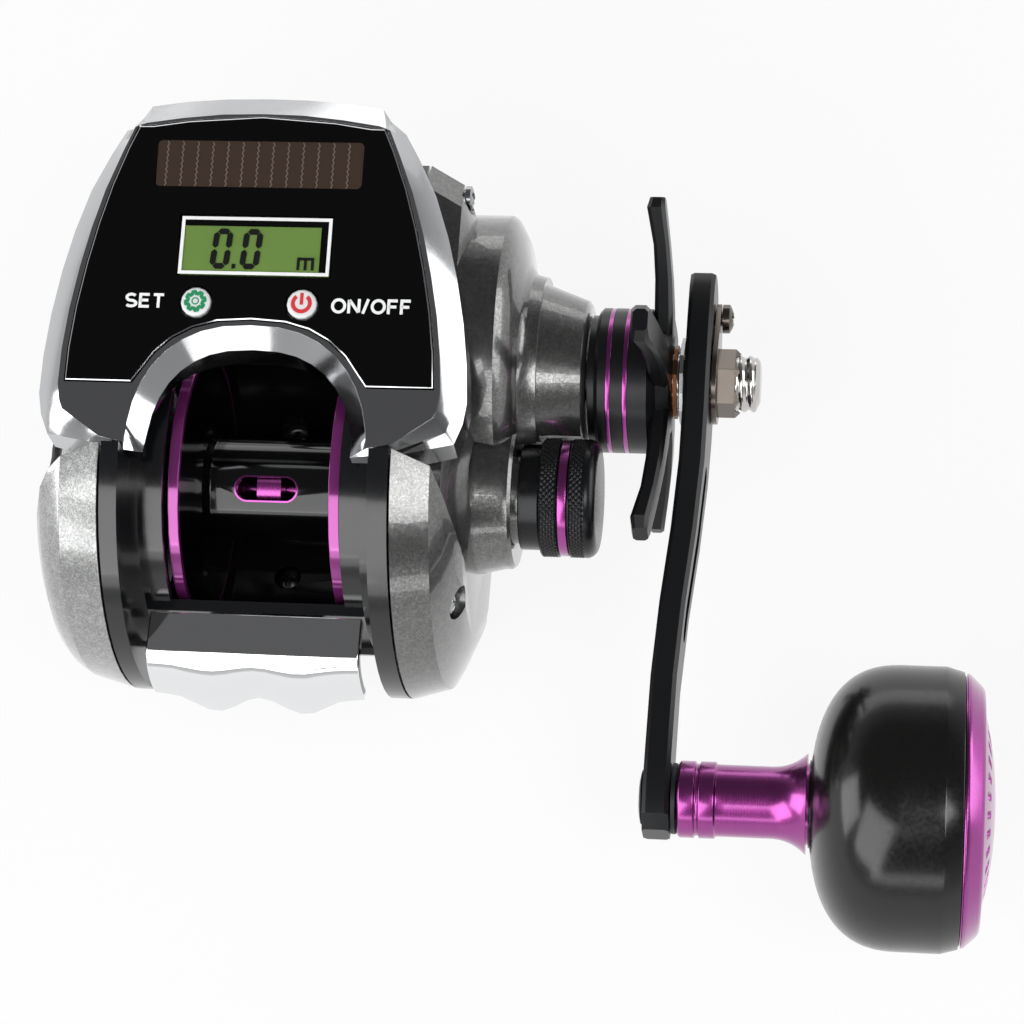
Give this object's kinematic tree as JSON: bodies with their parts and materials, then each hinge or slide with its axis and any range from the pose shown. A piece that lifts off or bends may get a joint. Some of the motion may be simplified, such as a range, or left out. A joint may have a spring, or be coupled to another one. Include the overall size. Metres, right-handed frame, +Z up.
{
  "type": "baitcasting reel",
  "caption": "Low-profile baitcasting fishing reel with a solar line-counter display, star drag, geared level wind and a ball-knob crank handle.",
  "frame": {"origin": "middle of the reel foot's flat underside", "axes": "+Z up off the rod, +Y towards the rod tip, +X towards the handle side"},
  "size_m": [0.1211, 0.0989, 0.0552],
  "materials": {
    "frame_black": "gloss black",
    "satin_black": "satin black",
    "silver_paint": "metallic silver paint",
    "grey_paint": "metallic grey paint",
    "dark_chrome": "dark chrome",
    "chrome": "bright chrome",
    "panel_black": "gloss black",
    "solar_brown": "brown cells",
    "lcd_green": "green display",
    "board_green": "green board",
    "button_white": "white",
    "magenta": "magenta anodised",
    "steel": "steel",
    "brass": "cut brass",
    "copper": "copper",
    "carbon": "carbon fibre",
    "nylon": "nylon",
    "matte_black": "matte black",
    "knob_black": "gloss black",
    "alu_black": "black anodised",
    "spool_black": "gloss black anodised",
    "bar_chrome": "chromed plastic"
  },
  "bodies": {
    "body": {"frame": "frame_black", "reel_foot": "satin_black", "foot_screw_rear": "steel", "foot_screw_front": "steel", "left_side_cover": "silver_paint", "left_spool_bearing": "steel", "right_side_cover": "grey_paint", "right_spool_bearing": "steel", "cover_screw_nose": "steel", "cover_screw_rear": "steel", "cover_screw_base": "steel", "pinion_bearing": "steel", "shaft_bearing": "steel", "anti_reverse_bearing": "steel", "outer_shaft_bearing": "steel", "level_wind_tube": "steel", "display_housing": "dark_chrome", "display_panel": "panel_black", "solar_cell": "solar_brown", "lcd_module": "lcd_green", "circuit_board": "board_green", "coin_cell": "steel", "housing_floor": "matte_black"},
    "cast_knob": {"cast_control_knob": "alu_black", "cast_control_ring": "magenta"},
    "spool": {"spool": "spool_black", "spool_shaft": "magenta"},
    "pinion": {"pinion_gear": "brass"},
    "yoke": {"clutch_yoke": "matte_black"},
    "cam": {"clutch_cam": "steel"},
    "handle": {"drive_shaft": "steel", "drive_gear": "brass", "drag_washer": "carbon", "key_washer": "steel", "level_wind_drive_gear": "brass", "clutch_sleeve": "steel", "copper_spacer": "copper", "spring_washer": "steel", "handle_arm": "alu_black", "handle_nut": "steel", "nut_keeper": "chrome", "keeper_screw": "steel", "knob_pin": "steel"},
    "star": {"star_drag": "alu_black"},
    "knob": {"knob_stem": "magenta", "knob_ball": "knob_black", "knob_ring": "magenta", "knob_cap": "magenta", "knob_bearing_inner": "steel", "knob_bearing_outer": "steel"},
    "worm": {"worm_shaft": "steel", "worm_gear": "nylon"},
    "guide": {"line_guide": "matte_black", "line_guide_eye": "steel", "worm_pawl": "brass"},
    "thumb": {"thumb_bar": "bar_chrome"},
    "set": {"set_button": "button_white"},
    "power": {"power_button": "button_white"},
    "dial": {"brake_dial": "matte_black"},
    "magnets": {"magnet_plate": "steel"}
  },
  "joints": [
    {"name": "handle_spin", "type": "hinge", "parent": "body", "child": "handle", "pos_m": [0, 0.0094, 0.024], "axis": [1, 0, 0], "continuous": true},
    {"name": "spool_spin", "type": "hinge", "parent": "body", "child": "spool", "pos_m": [0, -0.008, 0.0255], "axis": [1, 0, 0], "continuous": true},
    {"name": "yoke_slide", "type": "slide", "parent": "body", "child": "yoke", "axis": [1, 0, 0], "range_m": [0, 0.0016]},
    {"name": "pinion_spin", "type": "hinge", "parent": "yoke", "child": "pinion", "pos_m": [0, -0.008, 0.0255], "axis": [1, 0, 0], "continuous": true},
    {"name": "clutch_cam_turn", "type": "hinge", "parent": "body", "child": "cam", "pos_m": [0, -0.008, 0.0255], "axis": [1, 0, 0], "range_deg": [0, 30]},
    {"name": "worm_spin", "type": "hinge", "parent": "body", "child": "worm", "pos_m": [0, 0.0226, 0.0213], "axis": [1, 0, 0], "continuous": true},
    {"name": "line_guide_slide", "type": "slide", "parent": "body", "child": "guide", "axis": [1, 0, 0], "range_m": [-0.009, 0.009]},
    {"name": "star_drag_turn", "type": "hinge", "parent": "handle", "child": "star", "pos_m": [0, 0.0094, 0.024], "axis": [1, 0, 0], "range_deg": [-180, 180]},
    {"name": "knob_spin", "type": "hinge", "parent": "handle", "child": "knob", "pos_m": [0, -0.0471, 0.024], "axis": [1, 0, 0], "continuous": true},
    {"name": "cast_control_turn", "type": "hinge", "parent": "body", "child": "cast_knob", "pos_m": [0, -0.008, 0.0255], "axis": [1, 0, 0], "range_deg": [-180, 180]},
    {"name": "thumb_bar_press", "type": "slide", "parent": "body", "child": "thumb", "axis": [0, 0, -1], "range_m": [0, 0.005]},
    {"name": "set_button_press", "type": "slide", "parent": "body", "child": "set", "axis": [0, 0.1392, -0.9903], "range_m": [0, 0.0004], "stiffness_N_per_m": 800},
    {"name": "power_button_press", "type": "slide", "parent": "body", "child": "power", "axis": [0, 0.1392, -0.9903], "range_m": [0, 0.0004], "stiffness_N_per_m": 800},
    {"name": "brake_dial_turn", "type": "hinge", "parent": "body", "child": "dial", "pos_m": [0, -0.008, 0.0255], "axis": [-1, 0, 0], "range_deg": [0, 270]},
    {"name": "magnet_slide", "type": "slide", "parent": "body", "child": "magnets", "axis": [1, 0, 0], "range_m": [0, 0.0012]}
  ],
  "couplings": [
    {"joint": "spool_spin", "follows": "handle_spin", "ratio": -6.3},
    {"joint": "pinion_spin", "follows": "handle_spin", "ratio": -6.3},
    {"joint": "worm_spin", "follows": "handle_spin", "ratio": -2},
    {"joint": "yoke_slide", "follows": "thumb_bar_press", "ratio": 0.32},
    {"joint": "clutch_cam_turn", "follows": "thumb_bar_press", "rad_per_m": 104.7},
    {"joint": "brake_dial_turn", "follows": "magnet_slide", "rad_per_m": 3926}
  ]
}
